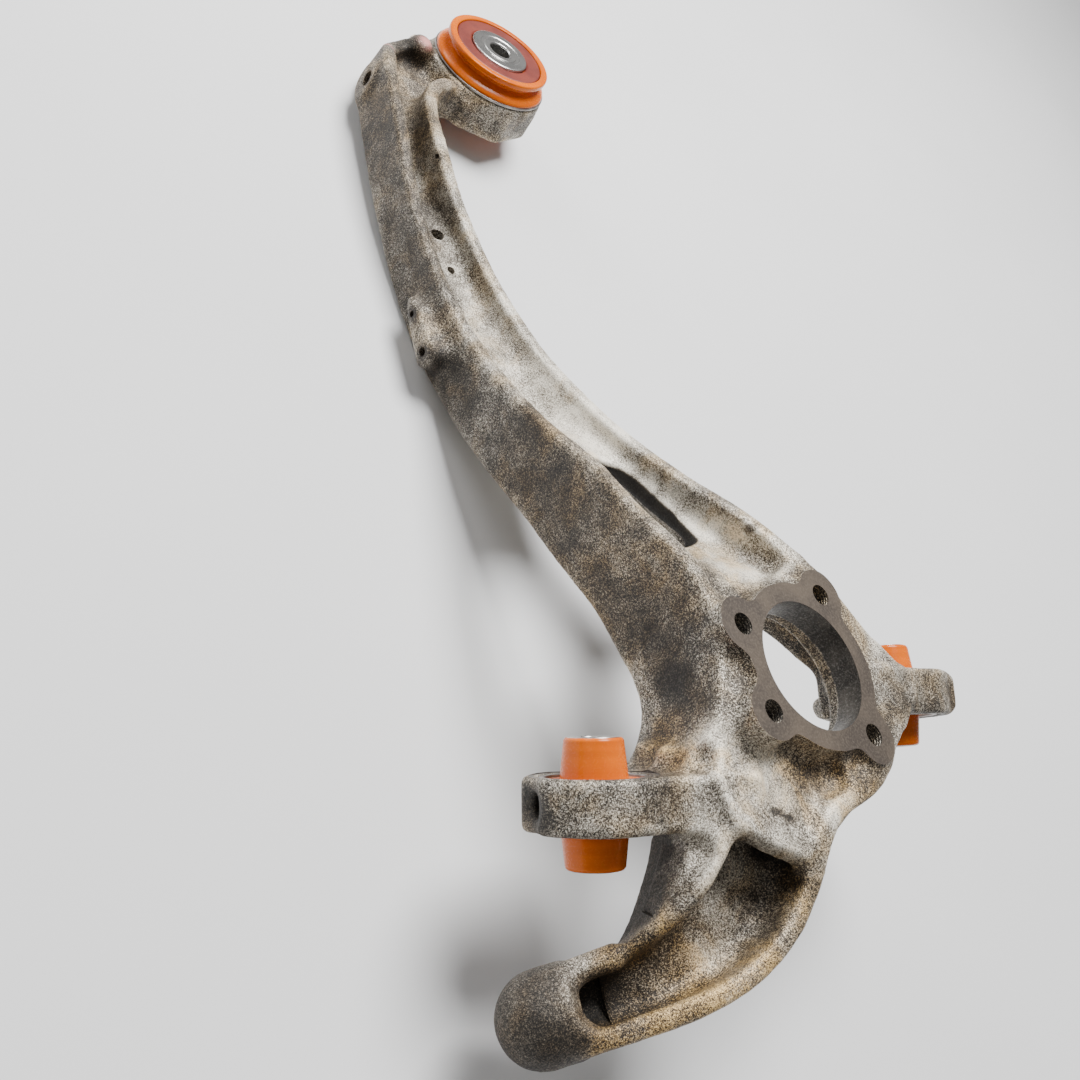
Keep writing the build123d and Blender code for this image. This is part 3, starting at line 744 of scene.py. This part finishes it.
def front_bush(steel, shell, orange, brown):
    place = (FRONT_CENTRE, FRONT_AXIS)
    ring = lathe("front_shell_look", [
        (32.0, -14.0, 0.2), (40.3, -14.0, 0.4), (40.3, -15.5, 0.4), (34.0, -15.5, 0.1), (34.0, -42.5, 0.5),
        (32.0, -42.5, 0.4)], *place, shell)
    add_piece(ring, "arm", "front_bush_shell")
    flanged = lathe("front_flanged_look", [
        (12.05, -27.0, 0.2), (32.0, -27.0, 0.2), (32.0, -14.0, 0.1), (39.5, -14.0, 0.5), (39.4, -12.6, 0.8),
        (38.2, -11.2, 1.4), (34.6, -8.9, 2.0), (32.3, -7.6, 1.2), (32.0, -6.5, 1.2), (34.4, -4.6, 1.2),
        (36.2, -3.6, 1.4), (36.2, 0.0, 1.3), (31.3, 0.0, 0.9), (31.0, -3.5, 0.2), (12.05, -3.5, 0.2)],
        *place, orange, 256)
    add_piece(flanged, "arm", "front_bush_flanged_half")
    plain = lathe("front_plain_look", [
        (12.05, -43.0, 0.3), (29.5, -43.0, 1.0), (32.0, -41.2, 0.8), (32.0, -27.2, 0.1), (12.05, -27.2, 0.2)],
        *place, orange)
    add_piece(plain, "arm", "front_bush_plain_half")
    thrust = lathe("front_thrust_look", [
        (20.3, -3.3, 0.1), (30.85, -3.3, 0.1), (30.85, -0.9, 0.5), (30.0, -0.5, 0.4), (21.4, -0.7, 0.5),
        (20.3, -1.6, 0.3)], *place, brown)
    add_piece(thrust, "arm", "front_bush_thrust_ring")
    sleeve = lathe("front_sleeve_look", [
        (7.1, -46.2, 0.3), (12.0, -46.2, 0.3), (12.0, 0.0, 0.2), (11.6, 0.4, 0.2), (7.9, 0.4, 0.3),
        (7.1, -0.5, 0.3)], *place, steel)
    add_piece(sleeve, "front_pivot", "front_bush_sleeve")
    outer = lathe("front_outer_washer_look", [
        (12.0, -2.7, 0.1), (19.9, -2.7, 0.3), (19.9, 0.0, 0.5), (19.0, 0.3, 0.3), (14.6, 0.3, 0.25),
        (14.2, 0.0, 0.2), (12.0, 0.0, 0.1)], *place, steel)
    add_piece(outer, "front_pivot", "front_bush_outer_washer")
    inner = lathe("front_inner_washer_look", [
        (12.0, -46.2, 0.1), (19.9, -46.2, 0.5), (19.9, -43.2, 0.5), (12.0, -43.2, 0.1)], *place, steel)
    add_piece(inner, "front_pivot", "front_bush_inner_washer")


def link_bush(name, centre, axis, shell_half, sleeve_half, steel, shell, orange):
    place = (centre, axis)
    ring = lathe(name + "_shell_look", [
        (20.8, -shell_half, 0.5), (22.8, -shell_half, 0.5), (22.8, shell_half, 0.5), (20.8, shell_half, 0.5)],
        *place, shell)
    add_piece(ring, "arm", name + "_bush_shell")
    face = shell_half - 1.0
    end = sleeve_half - 0.3
    for way, side in ((1, "front"), (-1, "rear")):
        profile = [
            (11.05, 0.2, 0.1), (20.8, 0.2, 0.1), (20.8, face - 0.6, 0.6), (19.6, face, 1.0),
            (17.6, face - 0.6, 1.0), (16.7, face - 2.0, 1.0), (16.2, face - 5.0, 0.8),
            (15.2, face - 5.4, 0.7), (14.4, face - 4.4, 0.7), (14.2, face, 0.8), (12.5, end - 1.0, 0.9),
            (11.7, end, 0.4), (11.05, end, 0.1)]
        turned = [(r, way * z, rounding) for r, z, rounding in profile]
        half = lathe(name + "_" + side + "_half_look", turned, *place, orange)
        add_piece(half, "arm", name + "_bush_" + side + "_half")
    sleeve = lathe(name + "_sleeve_look", [
        (6.1, -sleeve_half, 0.5), (11.0, -sleeve_half, 0.5), (11.0, sleeve_half, 0.5),
        (6.1, sleeve_half, 0.5)], *place, steel)
    add_piece(sleeve, name + "_pivot", name + "_bush_sleeve")


# ---- build ---------------------------------------------------------------------------
cast, milled, bored = cast_material(), machined_material(), bored_material()
steel, shell = steel_material(), shell_material()
orange, brown = polyurethane_material(), thrust_material()

arm = cast_body()
paint_attributes(arm)
arm.data.materials.clear()
assign_faces(arm)
for look in (cast, milled, bored):
    arm.data.materials.append(look)
set_points(arm.data, mesh_points(arm.data) * MM)
smooth(arm, 40.0)
add_piece(arm, "arm", "arm_casting")
front_bush(steel, shell, orange, brown)
link_bush("lower_link", LOWER_CENTRE, LOWER_AXIS, 10.7, 26.7, steel, shell, orange)
link_bush("upper_link", UPPER_CENTRE, UPPER_AXIS, 10.9, 25.9, steel, shell, orange)


# ---- stage, light and camera ---------------------------------------------------------
def stage():
    reach = 6000.0
    signs = ((-1, -1), (1, -1), (1, 1), (-1, 1))
    corners = [(x * reach * MM, y * reach * MM, FLOOR_Z * MM) for x, y in signs]
    floor = mesh_object("floor", corners, [(0, 1, 2, 3)])
    floor.data.materials.append(floor_material())


def area_light(name, place, target, size, power):
    light = bpy.data.lights.new(name, "AREA")
    light.shape = "DISK"
    light.size = size
    light.energy = power
    made = bpy.data.objects.new(name, light)
    COLLECTION.objects.link(made)
    made.location = Vector(place)
    made.rotation_euler = (Vector(target) - Vector(place)).to_track_quat("-Z", "Y").to_euler()


def camera():
    data = bpy.data.cameras.new("camera")
    data.lens = 39.97
    data.sensor_width = 36.0
    data.clip_end = 50.0
    made = bpy.data.objects.new("camera", data)
    COLLECTION.objects.link(made)
    right = Vector((-0.20247, -0.78324, 0.58783))
    down = Vector((-0.88566, -0.10968, -0.4512))
    forward = Vector((0.41657, -0.61304, -0.67131))
    turn = Matrix((right, -down, -forward)).transposed().to_4x4()
    made.matrix_world = Matrix.Translation(Vector((-149.117, 428.505, 311.446)) * MM) @ turn
    bpy.context.scene.camera = made


def sky():
    """Even white light from all round."""
    world = bpy.data.worlds.new("studio")
    world.use_nodes = True
    background = world.node_tree.nodes["Background"]
    background.inputs["Color"].default_value = (1.0, 1.0, 1.0, 1.0)
    background.inputs["Strength"].default_value = 0.24
    bpy.context.scene.world = world


stage()
area_light("key", (1.0, -0.15, 1.65), (0.1, 0.0, -0.05), 1.1, 100.0)
area_light("fill", (0.3, 1.9, 1.1), (0.1, 0.0, -0.05), 1.6, 3.0)
area_light("rim", (1.6, 1.0, 0.8), (0.2, 0.0, -0.08), 0.8, 12.0)
sky()
camera()
